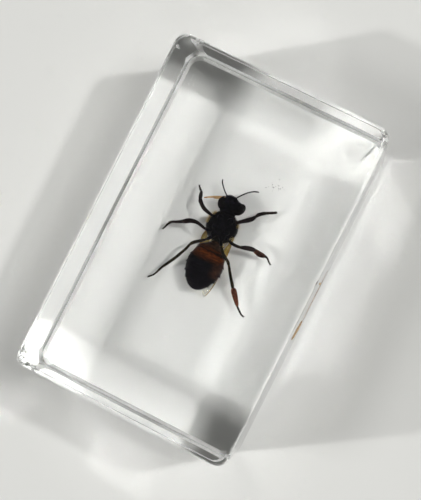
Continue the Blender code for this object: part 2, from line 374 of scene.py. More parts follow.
def membrane_material():
    """Wing membrane: amber and dense at the root, thin and pale at the tip."""
    material, tree, shader = new_material("bee_wing_membrane")
    place = object_xyz(tree)
    root = map_range(tree, place["Y"], -3.0 * MM, 0.5 * MM)
    cloud = noise_node(tree, 1500.0, 3.0)
    amber = ramp(tree, cloud, ((0.35, (0.52, 0.33, 0.03)), (0.65, (0.90, 0.70, 0.17))))
    tree.links.new(mix(tree, root, (0.78, 0.68, 0.27), amber), shader.inputs["Base Color"])
    set_gloss(shader, 0.45)
    sheet = tree.nodes.new("ShaderNodeAttribute")
    sheet.attribute_name = "sheet_weight"
    density = map_range(tree, place["Y"], -2.5 * MM, 1.2 * MM, 0.26, 0.78)
    tree.links.new(
        math_node(tree, "MULTIPLY", sheet.outputs["Fac"], density), shader.inputs["Alpha"])
    tree.links.new(
        bump(tree, noise_node(tree, 2200.0, 2.0), 0.03 * MM), shader.inputs["Normal"])
    return material


def hair_material(name, colour, tip):
    """Hair: two tones that change along it in soft patches."""
    material, tree, shader = new_material(name)
    tree.links.new(
        ramp(tree, noise_node(tree, 3000.0, 1.0), ((0.35, colour), (0.65, tip))),
        shader.inputs["Base Color"])
    set_gloss(shader, HAIR_ROUGHNESS)
    return material


def eye_material():
    """Compound eye: dark and glossy with a fine honeycomb of lenses."""
    material, tree, shader = new_material("bee_eye")
    cells = tree.nodes.new("ShaderNodeTexVoronoi")
    cells.inputs["Scale"].default_value = 21000.0
    tree.links.new(object_coordinates(tree), cells.inputs["Vector"])
    tree.links.new(
        ramp(tree, cells.outputs["Distance"],
             ((0.0, (0.014, 0.010, 0.010)), (0.8, (0.005, 0.004, 0.005)))),
        shader.inputs["Base Color"])
    dome = math_node(tree, "SUBTRACT", 1.0, cells.outputs["Distance"])
    tree.links.new(bump(tree, dome, PIT_DEPTH * MM, 0.6), shader.inputs["Normal"])
    set_gloss(shader, 0.22, EYE_IOR)
    return material


# -------------------------------------------------------------------- block

POINTS_PER_CORNER = 10
TOP_EDGE_STEPS = 5


def outline(half_x, half_y, radius):
    """A rounded rectangle in mm, the same number of points whatever its size."""
    points = []
    corners = ((1, 1, 0.0), (-1, 1, 90.0), (-1, -1, 180.0), (1, -1, 270.0))
    for sx, sy, start in corners:
        for k in range(POINTS_PER_CORNER + 1):
            angle = math.radians(start + 90.0 * k / POINTS_PER_CORNER)
            points.append((sx * (half_x - radius) + radius * math.cos(angle),
                           sy * (half_y - radius) + radius * math.sin(angle)))
    return points


def wall_inset(z):
    """How far the walls lean in at a height: the mould was a little wider at the top."""
    return TAPER * (1.0 - z / BLOCK.z)


def block_sections():
    """(height, inset) of the outline from the foot to the top."""
    sections = [(FOOT_EDGE * share, TAPER + FOOT_EDGE * (1.0 - share))
                for share in (0.0, 0.05, 0.1, 0.9, 0.95)]
    sections.append((FOOT_EDGE * 1.1, wall_inset(FOOT_EDGE * 1.1)))
    for k in range(TOP_EDGE_STEPS + 1):
        angle = math.radians(90.0 * k / TOP_EDGE_STEPS)
        z = BLOCK.z - TOP_EDGE * (1.0 - math.sin(angle))
        sections.append((z, wall_inset(z) + TOP_EDGE * (1.0 - math.cos(angle))))
    return sections


def resin_block(material):
    """One clear block with rounded corners, an eased top and a slanted foot."""
    bm = bmesh.new()
    rings = []
    for z, inset in block_sections():
        ring = outline(BLOCK.x / 2 - inset, BLOCK.y / 2 - inset, CORNER_RADIUS)
        rings.append([bm.verts.new(Vector((x, y, z)) * MM) for x, y in ring])
    count = len(rings[0])
    for a, b in zip(rings, rings[1:]):
        for k in range(count):
            bm.faces.new((a[k], a[(k + 1) % count], b[(k + 1) % count], b[k]))
    bm.faces.new(list(reversed(rings[0])))
    bm.faces.new(rings[-1])
    mesh = bpy.data.meshes.new("resin_block")
    bm.to_mesh(mesh)
    bm.free()
    mesh.shade_smooth()
    mesh.materials.append(material)
    block = bpy.data.objects.new("resin_block", mesh)
    bpy.context.scene.collection.objects.link(block)
    weigh = block.modifiers.new("weighted_normals", "WEIGHTED_NORMAL")
    weigh.weight = 100
    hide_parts("resin_lower_half", "resin_upper_half")
    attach(block, "root")


# -------------------------------------------------------- marks on the block

def add_flake(bm, centre, along, across, length, width, rng):
    """A thin irregular flake in mm; along and across span its plane."""
    points = []
    for k in range(9):
        angle = 2.0 * math.pi * k / 9
        reach = rng.uniform(0.6, 1.0)
        points.append(bm.verts.new((
            Vector(centre) + Vector(along) * math.cos(angle) * length * reach
            + Vector(across) * math.sin(angle) * width * reach) * MM))
    bm.faces.new(points)


def mark_material(name, dark, light, scale, roughness):
    """Two tones in patches."""
    material, tree, shader = new_material(name)
    tree.links.new(
        ramp(tree, noise_node(tree, scale), ((0.4, dark), (0.6, light))),
        shader.inputs["Base Color"])
    set_gloss(shader, roughness)
    return material


def resin_mark(name, bm, material):
    piece = finish_piece(name, bm, material, smooth=False, replaces="resin_upper_half")


# Brown glue dried on the right wall: each run's path (y, z) and radius in mm
GLUE_RUNS = (
    (((-2.4, 6.3), (-3.0, 6.6), (-3.8, 7.4), (-4.5, 8.2), (-4.95, 9.2)), 0.15),
    (((2.5, 7.2), (2.6, 7.9), (2.62, 8.6)), 0.14),
    (((4.6, 5.2), (2.2, 4.9), (0.0, 5.0), (-2.4, 4.8)), 0.04),
)


# A run starts and ends at this share of a half wave, so its ends aren't points
GLUE_END = 0.06


def edge_stains():
    """A run of glue, a drop of it and a thin tide line, thinner to their ends."""
    rng = random.Random(11)
    bm = bmesh.new()
    for path, radius in GLUE_RUNS:
        line = catmull(
            [(BLOCK.x / 2 - wall_inset(z), y, z, 0.0) for y, z in path], 10)
        stations = []
        for i, p in enumerate(line):
            t = i / (len(line) - 1)
            swell = math.sin(math.pi * lerp(GLUE_END, 1.0 - GLUE_END, t)) ** 0.6
            stations.append((p.to_3d() - WAIST, radius * swell * rng.uniform(0.75, 1.1)))
        add_tube(bm, stations, 8)
    resin_mark("resin_stains", bm, mark_material(
        "resin_stain", (0.24, 0.14, 0.07), (0.62, 0.47, 0.29), 2400.0, 0.6))


# The bruised corners: where the chips gather, how far they spread and how many
BRUISES = (
    ((13.4, 21.3, 16.6), 0.42, 44), ((-13.4, -21.3, 16.6), 0.5, 30),
    ((-13.5, -20.2, 16.7), 0.3, 12), ((-12.2, -21.55, 16.7), 0.3, 12),
)
CHIP_MARGIN = 0.45
# Dark specks at the corners: x, y and length
SPECKS = (
    (13.32, 21.1, 0.3), (13.1, 20.9, 0.24), (13.2, 20.55, 0.16),
    (-13.1, -19.9, 0.16), (-12.1, -21.3, 0.3), (-11.9, -20.0, 0.2),
    (-11.7, -20.15, 0.16), (-13.3, -18.6, 0.22),
)
SPECK_HEIGHT = 16.93
SPECK_WIDTH = 0.07
# A row of chips on the top face, down and inwards from the upper right corner
CHIP_ROW_START = (12.95, 19.8)
CHIP_ROW_END = (12.2, 17.2)
CHIP_ROW_HEIGHT = 16.9
CHIP_ROW_COUNT = 16


def corner_chips():
    """Bright chips where the corners are bruised, with dark specks among them."""
    rng = random.Random(5)
    bright = bmesh.new()
    dark = bmesh.new()
    limit_x = BLOCK.x / 2 - CHIP_MARGIN
    limit_y = BLOCK.y / 2 - CHIP_MARGIN
    for centre, spread, count in BRUISES:
        for _ in range(count):
            x = centre[0] + rng.gauss(0.0, spread * 0.6)
            y = centre[1] + rng.gauss(0.0, spread * 0.6)
            x = max(-limit_x, min(limit_x, x))
            y = max(-limit_y, min(limit_y, y))
            tilt = Vector((rng.gauss(0, 0.5), rng.gauss(0, 0.5), 1.0)).normalized()
            along = tilt.orthogonal().normalized()
            add_flake(bright, (x, y, centre[2] + rng.uniform(-0.5, 0.05)), along,
                      tilt.cross(along), rng.uniform(0.1, 0.32), rng.uniform(0.06, 0.18),
                      rng)
    for x, y, length in SPECKS:
        add_flake(dark, (x, y, SPECK_HEIGHT), (0.4, 0.9, 0.0), (0.9, -0.4, 0.0), length,
                  SPECK_WIDTH, rng)
    for k in range(CHIP_ROW_COUNT):
        t = k / (CHIP_ROW_COUNT - 1)
        x, y = (lerp(a, b, t) for a, b in zip(CHIP_ROW_START, CHIP_ROW_END))
        width = 0.16 * math.sin(3.0 * t + 0.1) + 0.02
        add_flake(bright, (x, y, CHIP_ROW_HEIGHT), (0.28, 0.96, 0.0), (0.96, -0.28, 0.1),
                  0.2, width, rng)
    resin_mark("resin_chips", bright, mark_material(
        "resin_chip", (0.80, 0.80, 0.78), (0.95, 0.95, 0.94), 4000.0, 0.2))
    resin_mark("resin_specks", dark, mark_material(
        "resin_speck", (0.05, 0.05, 0.05), (0.16, 0.15, 0.14), 4000.0, 0.4))


BUBBLE_COUNT = 16
BUBBLE_RADII = (0.03, 0.07)
BUBBLE_HEIGHTS = (5.0, 9.0)


def bubbles():
    """Tiny bubbles in the resin ahead of the bee's head."""
    rng = random.Random(9)
    bm = bmesh.new()
    for _ in range(BUBBLE_COUNT):
        centre = (rng.gauss(4.1, 0.9), rng.gauss(10.6, 0.6), rng.uniform(*BUBBLE_HEIGHTS))
        made = bmesh.ops.create_icosphere(
            bm, subdivisions=2, radius=rng.uniform(*BUBBLE_RADII) * MM)
        bmesh.ops.translate(bm, verts=made["verts"], vec=Vector(centre) * MM)
    material, _, shader = new_material("resin_bubble")
    shader.inputs["Transmission Weight"].default_value = 1.0
    set_gloss(shader, 0.0, 1.0 / RESIN_IOR)
    piece = finish_piece("resin_bubbles", bm, material, replaces="resin_upper_half")


def resin_marks():
    edge_stains()
    corner_chips()
    bubbles()


# --------------------------------------------------------------------- body

# Ellipsoids: centre, radii and, but for the thorax, a turn about Z in degrees
THORAX = ((-0.11, 1.97, 0.0), (1.9, 1.9, 1.77))
HEAD_FORMS = (
    ((-0.35, 3.95, -0.05), (1.08, 0.7, 0.88), 0.0),
    ((-0.28, 4.85, 0.0), (1.3, 0.86, 1.08), 0.0),
    ((-0.54, 5.36, 0.05), (0.94, 0.62, 0.78), 0.0),
    ((-1.05, 4.95, 0.3), (0.45, 0.6, 0.6), 20.0),
    ((0.5, 5.05, 0.3), (0.5, 0.6, 0.6), -20.0),
)
EYES = (
    ((-1.42, 4.68, 0.05), (0.58, 0.84, 0.93), 12.0),
    ((0.88, 4.82, 0.05), (0.6, 0.84, 0.93), -20.0),
)
COXAE = (
    ((-0.62, 2.75, 1.3), (0.42, 0.6, 0.5), 35.0),
    ((0.55, 2.9, 1.3), (0.42, 0.6, 0.5), -35.0),
    ((-0.7, 1.65, 1.35), (0.5, 0.42, 0.5), 10.0),
    ((0.68, 1.6, 1.35), (0.5, 0.42, 0.5), -10.0),
    ((-0.5, 0.9, 1.2), (0.45, 0.55, 0.5), -20.0),
    ((0.55, 0.9, 1.2), (0.45, 0.55, 0.5), 20.0),
)


def melted(name, forms, voxel, smooth_passes):
    """Forms that grow into one another: a skin of voxels (mm) over them, smoothed."""
    bm = bmesh.new()
    for centre, radii, turn in forms:
        add_ellipsoid(bm, centre, radii, turn)
    rough = bpy.data.meshes.new(name)
    bm.to_mesh(rough)
    bm.free()
    source = bpy.data.objects.new(name + "_forms", rough)
    bpy.context.scene.collection.objects.link(source)
    skin = source.modifiers.new("skin", "REMESH")
    skin.mode = "VOXEL"
    skin.voxel_size = voxel * MM
    soften = source.modifiers.new("soften", "SMOOTH")
    soften.factor = 0.5
    soften.iterations = smooth_passes
    bpy.context.view_layer.update()
    evaluated = source.evaluated_get(bpy.context.evaluated_depsgraph_get())
    mesh = bpy.data.meshes.new_from_object(evaluated)
    mesh.name = name
    bpy.data.objects.remove(source)
    mesh.materials.clear()
    mesh.shade_smooth()
    return mesh


def head_and_thorax(shell, eye):
    head = melted("bee_head", HEAD_FORMS, voxel=0.06, smooth_passes=6)
    finish_mesh("bee_head", head, shell)
    trunk = melted("bee_thorax", [(*THORAX, 0.0), *COXAE], voxel=0.07, smooth_passes=5)
    finish_mesh("bee_thorax", trunk, shell)
    bm = bmesh.new()
    for centre, radii, turn in EYES:
        add_ellipsoid(bm, centre, radii, turn, around=40, rings=26)
    finish_piece("bee_eyes", bm, eye)


# The abdomen: (y, half width) from the waist to the tail
ABDOMEN_STATIONS = (
    (0.85, 0.34), (0.15, 0.42), (-0.2, 0.6), (-0.4, 0.9), (-0.88, 1.58), (-1.4, 1.9),
    (-1.93, 2.04), (-2.45, 2.2), (-2.9, 2.3), (-3.49, 2.25), (-4.02, 2.16), (-4.54, 1.98),
    (-5.06, 1.68), (-5.59, 1.33), (-6.0, 0.95), (-6.25, 0.55), (-6.36, 0.2),
)
ABDOMEN_ENDS = (0.85, -6.35)
# Where each plate ends, over what length it swells before that, and how long the
# step behind it is
PLATE_ENDS = (-1.25, -2.6, -3.7, -4.7, -5.45)
PLATE_SWELL = 0.42
PLATE_STEP = 0.1
KEEL_HEIGHT = 0.05
ABDOMEN_FLATTENING = 0.82
BODY_AXIS_X = 0.08


def abdomen_width(y):
    """Half the abdomen's width at y, without its plates."""
    for (y0, w0), (y1, w1) in zip(ABDOMEN_STATIONS, ABDOMEN_STATIONS[1:]):
        if y1 <= y <= y0:
            t = (y0 - y) / (y0 - y1)
            return lerp(w0, w1, t * t * (3 - 2 * t) * 0.4 + t * 0.6)
    return 0.05


def abdomen_point(y, angle):
    """A point on the abdomen's surface; angle 0 is +X and 90 degrees is the belly."""
    w = abdomen_width(y)
    c, s = math.cos(angle), math.sin(angle)
    lip = 0.10 + 0.04 * max(0.0, c) ** 2
    for end in PLATE_ENDS:
        rise = end - y
        if -PLATE_SWELL < rise < 0.0:
            w += lip * (1.0 + rise / PLATE_SWELL) ** 1.4
        elif 0.0 <= rise < PLATE_STEP:
            w -= 0.6 * lip * (1.0 - rise / PLATE_STEP)
    z = s * w * ABDOMEN_FLATTENING
    keel = KEEL_HEIGHT * math.exp(-(c / 0.35) ** 2) if s > 0 else 0.0
    return Vector((BODY_AXIS_X + c * w, y, z + keel))


def abdomen(material):
    bm = bmesh.new()
    steps = 190
    sides = 72
    rings = []
    for i in range(steps + 1):
        y = lerp(*ABDOMEN_ENDS, i / steps)
        rings.append([
            bm.verts.new(world_point(abdomen_point(y, 2 * math.pi * k / sides)))
            for k in range(sides)])
    for a, b in zip(rings, rings[1:]):
        for k in range(sides):
            bm.faces.new((a[k], a[(k + 1) % sides], b[(k + 1) % sides], b[k]))
    bm.faces.new(list(reversed(rings[0])))
    bm.faces.new(rings[-1])
    finish_piece("bee_abdomen", bm, material)


# --------------------------------------------------------------------- legs

# Each leg: its path (x, y, z, radius) and where its segments end
LEGS = {
    "front_left": ((
        (-0.9, 2.6, 0.9, 0.3), (-1.6, 2.68, 1.2, 0.19), (-2.22, 2.78, 1.3, 0.2),
        (-3.0, 3.0, 1.2, 0.25), (-3.6, 3.4, 0.9, 0.25), (-3.98, 3.78, 0.6, 0.26),
        (-4.22, 4.25, 0.1, 0.24), (-4.38, 4.65, -0.4, 0.19), (-4.55, 4.85, -0.8, 0.1),
        (-4.8, 5.02, -1.25, 0.09), (-5.09, 5.34, -1.55, 0.07)), (1, 5, 8, 10)),
    "middle_left": ((
        (-0.9, 1.1, 0.9, 0.3), (-1.6, 0.85, 1.25, 0.18), (-2.2, 0.95, 1.35, 0.18),
        (-2.85, 1.08, 1.25, 0.21), (-3.5, 1.05, 1.0, 0.26), (-4.15, 0.82, 0.6, 0.3),
        (-4.65, 0.5, 0.15, 0.28), (-5.4, 0.12, -0.55, 0.17), (-6.1, -0.18, -1.15, 0.14),
        (-6.42, -0.58, -1.45, 0.1), (-6.6, -1.05, -1.7, 0.08), (-6.77, -1.4, -1.85, 0.07)),
        (1, 6, 8, 11)),
    "hind_left": ((
        (-0.5, 0.6, 0.9, 0.3), (-1.0, -0.2, 1.5, 0.19), (-1.5, -0.65, 1.72, 0.19),
        (-2.15, -1.15, 1.6, 0.21), (-2.55, -1.62, 1.35, 0.2), (-2.82, -2.35, 0.8, 0.17),
        (-3.2, -3.1, 0.25, 0.18), (-3.55, -3.82, -0.2, 0.2), (-3.92, -4.45, -0.55, 0.18),
        (-4.35, -5.17, -0.95, 0.17), (-4.72, -5.8, -1.25, 0.13), (-4.94, -6.4, -1.45, 0.09),
        (-5.2, -6.95, -1.65, 0.08), (-5.72, -7.5, -1.85, 0.07)), (1, 4, 7, 10, 13)),
    "front_right": ((
        (0.8, 2.9, 0.9, 0.3), (1.2, 3.1, 1.15, 0.2), (1.6, 3.4, 1.25, 0.21),
        (2.0, 3.74, 1.2, 0.24), (2.42, 4.08, 0.95, 0.29), (2.8, 4.47, 0.65, 0.27),
        (3.02, 4.88, 0.35, 0.2), (3.22, 5.28, 0.05, 0.23), (3.53, 5.6, -0.3, 0.19),
        (3.95, 5.92, -0.7, 0.13), (4.48, 6.23, -1.1, 0.13), (4.95, 6.54, -1.4, 0.11)),
        (1, 6, 8, 11)),
    "middle_right": ((
        (0.8, 1.2, 0.9, 0.3), (1.3, 0.85, 1.2, 0.18), (1.86, 0.72, 1.35, 0.19),
        (2.4, 0.66, 1.3, 0.19), (3.0, 0.72, 1.1, 0.2), (3.64, 0.95, 0.75, 0.28),
        (4.25, 1.14, 0.3, 0.3), (4.72, 1.2, -0.02, 0.26), (4.95, 1.13, -0.2, 0.31),
        (5.42, 1.06, -0.55, 0.35), (5.9, 1.1, -0.9, 0.28), (6.12, 1.14, -1.1, 0.13),
        (6.46, 1.05, -1.35, 0.09), (6.78, 0.76, -1.6, 0.08), (7.09, 0.53, -1.85, 0.07)),
        (1, 4, 7, 11, 14)),
    "hind_right": ((
        (0.5, 0.6, 0.9, 0.3), (0.95, -0.15, 1.5, 0.19), (1.4, -0.7, 1.7, 0.19),
        (1.9, -1.12, 1.65, 0.2), (2.5, -1.48, 1.45, 0.19), (2.82, -1.84, 1.2, 0.18),
        (3.24, -2.46, 0.8, 0.18), (3.74, -3.18, 0.3, 0.19), (4.2, -3.8, -0.1, 0.21),
        (4.38, -4.06, -0.25, 0.19), (4.6, -4.3, -0.38, 0.35), (5.05, -4.85, -0.65, 0.34),
        (5.5, -5.42, -0.95, 0.26), (5.72, -5.7, -1.1, 0.19), (5.86, -5.88, -1.2, 0.1),
        (6.25, -6.21, -1.45, 0.09), (6.62, -6.5, -1.7, 0.08), (6.99, -6.63, -1.85, 0.07)),
        (1, 5, 9, 14, 17)),
}
PER_POINT = 8
SEGMENTS = ("coxa", "femur", "tibia", "basitarsus", "tarsus")
SEGMENT_THICKNESS = {"tibia": 0.8, "basitarsus": 0.5}
# A segment's width at its root and at its far joint, as a share of the full width
ROOT_SHARE = 0.62
JOINT_SHARE = 0.72
# How many points of the path it takes to reach the full width
ROOT_POINTS = 7.0
BASITARSUS_ROOT_POINTS = 3.0
JOINT_POINTS = 1.5
TARSUS_BEADS = 4
TARSUS_WIDTH = 1.15
BEAD_SWELL = 0.6
CLAW_LENGTH = 0.17
CLAW_SPREAD = 0.11
CLAW_RADIUS = 0.05
BRISTLE_RADIUS = 0.009
# How many bristles, and their length
LEG_BRISTLES = (420, 0.16)
FOOT_BRISTLES = (120, 0.1)


def segment_stations(path, start, end, root_points):
    """One hard segment: drawn in over its root, full almost to its far joint."""
    piece = path[start:end + 1]
    last = len(piece) - 1
    stations = []
    for i, p in enumerate(piece):
        root = lerp(ROOT_SHARE, 1.0, min(1.0, i / root_points) ** 0.6)
        joint = lerp(JOINT_SHARE, 1.0, min(1.0, (last - i) / JOINT_POINTS) ** 0.5)
        stations.append((p.to_3d(), p.w * root * joint))
    return stations


def tarsus_stations(path, start, end):
    """The foot: small beads in a row, wider at the far end of each."""
    piece = path[start:end + 1]
    stations = []
    per_bead = 6
    fine = per_bead * TARSUS_BEADS
    for i in range(fine + 1):
        t = i / fine * (len(piece) - 1)
        k = min(int(t), len(piece) - 2)
        p = piece[k].lerp(piece[k + 1], t - k)
        saw = (i / per_bead) % 1.0
        stations.append((p.to_3d(), p.w * (TARSUS_WIDTH + BEAD_SWELL * saw ** 1.5)))
    return stations


def claws(bm, path):
    """Two short curved claws at the leg's end."""
    tip = path[-1].to_3d()
    along = (tip - path[-3].to_3d()).normalized()
    side = along.cross(UP).normalized()
    for sign in (-1.0, 1.0):
        stations = []
        for i in range(5):
            t = i / 4
            bend = side * sign * CLAW_SPREAD * math.sin(t * 2.4)
            point = tip + along * CLAW_LENGTH * t + bend
            stations.append((point, CLAW_RADIUS * (1.0 - 0.8 * t)))
        add_tube(bm, stations, 6)


def leg_bristles(bm, path, start, end, count, length):
    """Short hairs that lean towards the leg's end, rooted in the flattened limb."""
    for _ in range(count):
        t = RNG.uniform(start, end - 0.001)
        k = int(t)
        p = path[k].lerp(path[k + 1], t - k)
        along = (path[k + 1] - path[k]).to_3d().normalized()
        out = along.cross(random_unit()).normalized()
        root = p.to_3d() + out * p.w * (0.85 - 0.35 * abs(out.z))
        add_hair(bm, root, out * 0.75 + along * 0.9, length * RNG.uniform(0.6, 1.2),
                 BRISTLE_RADIUS, along)


def legs(materials, bristle):
    for name, (points, ends) in LEGS.items():
        path = catmull(points, PER_POINT)
        ends = [e * PER_POINT for e in ends]
        kinds = list(SEGMENTS)
        if len(ends) < len(kinds):
            kinds.remove("basitarsus")
        starts = [0] + ends[:-1]
        groups = {}
        for kind, a, b in zip(kinds, starts, ends):
            groups.setdefault(materials[name][kind], []).append((kind, a, b))
        for material, members in groups.items():
            bm = bmesh.new()
            for kind, a, b in members:
                if kind == "tarsus":
                    add_tube(bm, tarsus_stations(path, a, b), 10)
                    claws(bm, path)
                else:
                    root = BASITARSUS_ROOT_POINTS if kind == "basitarsus" else ROOT_POINTS
                    add_tube(bm, segment_stations(path, a, b, root), 14,
                             SEGMENT_THICKNESS.get(kind, 1.0))
            finish_piece(f"bee_leg_{name}_{members[0][0]}", bm, material)
        bm = bmesh.new()
        leg_bristles(bm, path, ends[0], ends[-2], *LEG_BRISTLES)
        leg_bristles(bm, path, ends[-2], ends[-1], *FOOT_BRISTLES)
        finish_piece(f"bee_bristles_{name}", bm, bristle)


# ---------------------------------------------------------- feelers, tongue

# Paths with a radius: (x, y, z, radius)
LEFT_FEELER = (
    (-1.05, 5.45, 0.3, 0.1), (-1.28, 5.66, 0.25, 0.08), (-1.69, 5.95, 0.0, 0.08),
    (-2.14, 6.36, -0.4, 0.08), (-2.6, 6.85, -0.8, 0.08), (-2.8, 7.26, -1.0, 0.07))
RIGHT_FEELER = (
    (-0.2, 5.6, 0.3, 0.1), (-0.08, 5.95, 0.2, 0.08), (0.28, 6.5, 0.0, 0.08),
    (0.78, 7.1, -0.3, 0.08), (1.28, 7.52, -0.6, 0.09), (1.62, 7.7, -0.8, 0.09),
    (1.94, 7.8, -0.95, 0.07))
TONGUE = (
    (-1.35, 5.3, 0.5, 0.16), (-1.95, 5.15, 0.4, 0.14), (-2.45, 4.95, 0.2, 0.13),
    (-3.1, 4.62, -0.1, 0.11), (-3.78, 4.24, -0.4, 0.07))


# How much of a feeler is its smooth first joint
SCAPE_SHARE = 0.22
FEELER_RINGS = 11
# The tongue's sheath: how far it lies beside the tongue and how far it reaches
SHEATH_OFFSET = Vector((0.03, -0.12, -0.03))
SHEATH_POINTS = 24


def feeler_stations(points):
    """A smooth first joint, then short ringed ones."""
    path = catmull(points, 14)
    stations = []
    for i, p in enumerate(path):
        t = i / (len(path) - 1)
        radius = p.w
        if t > SCAPE_SHARE:
            wave = ((t - SCAPE_SHARE) / (1.0 - SCAPE_SHARE) * FEELER_RINGS) % 1.0
            radius *= 0.78 + 0.3 * math.sin(math.pi * wave) ** 0.5
        stations.append((p.to_3d(), radius))
    return stations


def feelers_and_tongue(shell, tongue_material):
    bm = bmesh.new()
    add_tube(bm, feeler_stations(LEFT_FEELER), 12)
    add_tube(bm, feeler_stations(RIGHT_FEELER), 12)
    finish_piece("bee_feelers", bm, shell)
    bm = bmesh.new()
    path = catmull(TONGUE, 10)
    add_tube(bm, [(p.to_3d(), p.w) for p in path], 10, 0.7)
    sheath = [(p.to_3d() + SHEATH_OFFSET, p.w * 0.9) for p in path[:SHEATH_POINTS]]
    add_tube(bm, sheath, 10, 0.5)
    finish_piece("bee_tongue", bm, tongue_material)
    bm = bmesh.new()
    for side, x in ((-1.0, -0.95), (1.0, 0.0)):
        stations = [
            (Vector((x, 5.25, 0.72)), 0.16), (Vector((x - 0.08 * side, 5.5, 0.82)), 0.15),
            (Vector((x - 0.2 * side, 5.72, 0.8)), 0.1),
            (Vector((x - 0.3 * side, 5.86, 0.76)), 0.05)]
        add_tube(bm, stations, 10, 0.6)
    finish_piece("bee_jaws", bm, shell)


# -------------------------------------------------------------------- wings

# Wing outlines (x, y), from the root round the tip and back to the root
RIGHT_WING = (
    (1.25, 2.3), (1.5, 2.0), (1.75, 0.8), (1.9, -0.6), (1.98, -2.4), (2.14, -4.2),
    (1.98, -5.6), (1.6, -6.7), (1.15, -6.25), (0.5, -5.0), (0.0, -3.4), (0.15, -1.4),
    (0.8, 0.6), (1.0, 1.9))
LEFT_WING = (
    (-1.45, 2.4), (-1.1, 1.9), (-0.9, 1.0), (-0.4, -0.3), (0.4, -2.4), (0.75, -4.4),
    (0.75, -5.8), (0.4, -6.2), (-0.5, -5.6), (-1.25, -4.4), (-1.7, -2.6), (-1.85, -1.2),
    (-2.05, 0.1), (-1.7, 1.5))


# The outline's point at the tip, and how finely the outlines and veins are drawn
TIP = 7
WING_SAMPLES = 6
MEMBRANE_ALONG = 60
MEMBRANE_ACROSS = 16
WAVE_HEIGHT = 0.05
CREASE_HEIGHT = 0.03
# The share of the length over which the root is lifted, and over which the
# trailing part of the membrane fades out
ROOT_LIFT_REACH = 0.16
FOLD_REACH = 0.55
# Veins: points (root to tip, leading to trailing edge) from 0 to 1, and a radius
VEINS = (
    ([(0.0, 0.03), (0.3, 0.03), (0.7, 0.02), (0.97, 0.1)], 0.05),
    ([(0.0, 0.15), (0.35, 0.14), (0.7, 0.1), (0.93, 0.06)], 0.04),
    ([(0.02, 0.3), (0.3, 0.36), (0.55, 0.42), (0.8, 0.5)], 0.03),
    ([(0.02, 0.5), (0.2, 0.6), (0.45, 0.74), (0.62, 0.93)], 0.028),
    ([(0.05, 0.7), (0.2, 0.85), (0.32, 0.96)], 0.024),
    ([(0.3, 0.14), (0.33, 0.25), (0.34, 0.38)], 0.024),
    ([(0.5, 0.12), (0.52, 0.28), (0.53, 0.42)], 0.022),
    ([(0.34, 0.38), (0.4, 0.52), (0.42, 0.72)], 0.022),
    ([(0.55, 0.43), (0.58, 0.6), (0.6, 0.85)], 0.02),
    ([(0.68, 0.1), (0.74, 0.24), (0.84, 0.3)], 0.02),
    ([(0.66, 0.46), (0.74, 0.62), (0.8, 0.78)], 0.018),
)


def rail_at(rail, t):
    """The point at the share t of a rail's length."""
    lengths = [0.0]
    for a, b in zip(rail, rail[1:]):
        lengths.append(lengths[-1] + (b - a).length)
    goal = t * lengths[-1]
    for i in range(len(rail) - 1):
        if goal <= lengths[i + 1] or i == len(rail) - 2:
            u = (goal - lengths[i]) / max(lengths[i + 1] - lengths[i], 1e-6)
            return rail[i].lerp(rail[i + 1], min(max(u, 0.0), 1.0)).to_3d()


def wing(name, edge, height, lift, membrane, vein, front_is_first):
    """A membrane between two smooth edges, slightly waved, with its veins.

    The root stands higher than the rest by lift.
    """
    loop = catmull([(*p, 0.0, 0.0) for p in (*edge, edge[0])], WING_SAMPLES)
    cut = TIP * WING_SAMPLES
    front = loop[:cut + 1]
    back = [loop[0]] + list(reversed(loop[cut:-1]))
    if not front_is_first:
        front, back = back, front

    def surface(s, t):
        """s runs root to tip and t from leading to trailing edge."""
        p = rail_at(front, s).lerp(rail_at(back, s), t)
        fade = math.sin(math.pi * min(1.0, s * 1.1))
        wave = WAVE_HEIGHT * math.sin(9.0 * t + 3.0 * s) * fade
        crease = CREASE_HEIGHT * noise.noise(p * 2.3 + Vector((0, 0, height)))
        root = (1.0 - min(1.0, s / ROOT_LIFT_REACH)) ** 2
        return Vector((p.x, p.y, height + wave + crease + lift * root))

    bm = bmesh.new()
    weight = bm.verts.layers.float.new("sheet_weight")
    grid = []
    for i in range(MEMBRANE_ALONG + 1):
        grid.append([])
        for j in range(MEMBRANE_ACROSS + 1):
            s, t = i / MEMBRANE_ALONG, j / MEMBRANE_ACROSS
            vert = bm.verts.new(world_point(surface(s, t)))
            fold = max(0.0, 1.0 - s / FOLD_REACH)
            vert[weight] = 1.0 - fold * min(1.0, max(0.0, (t - 0.28) / 0.2))
            grid[-1].append(vert)
    for i in range(MEMBRANE_ALONG):
        for j in range(MEMBRANE_ACROSS):
            bm.faces.new((grid[i][j], grid[i + 1][j], grid[i + 1][j + 1], grid[i][j + 1]))
    bmesh.ops.remove_doubles(bm, verts=bm.verts, dist=0.001 * MM)
    finish_piece(name + "_membrane", bm, membrane)

    bm = bmesh.new()
    for run, radius in VEINS:
        line = catmull([(s, t, 0.0, 0.0) for s, t in run], WING_SAMPLES)
        stations = [(surface(min(p.x, 1.0), min(max(p.y, 0.0), 1.0)),
                     radius * (1.0 - 0.35 * i / len(line))) for i, p in enumerate(line)]
        add_tube(bm, stations, 6)
    finish_piece(name + "_veins", bm, vein)


# --------------------------------------------------------------------- hair

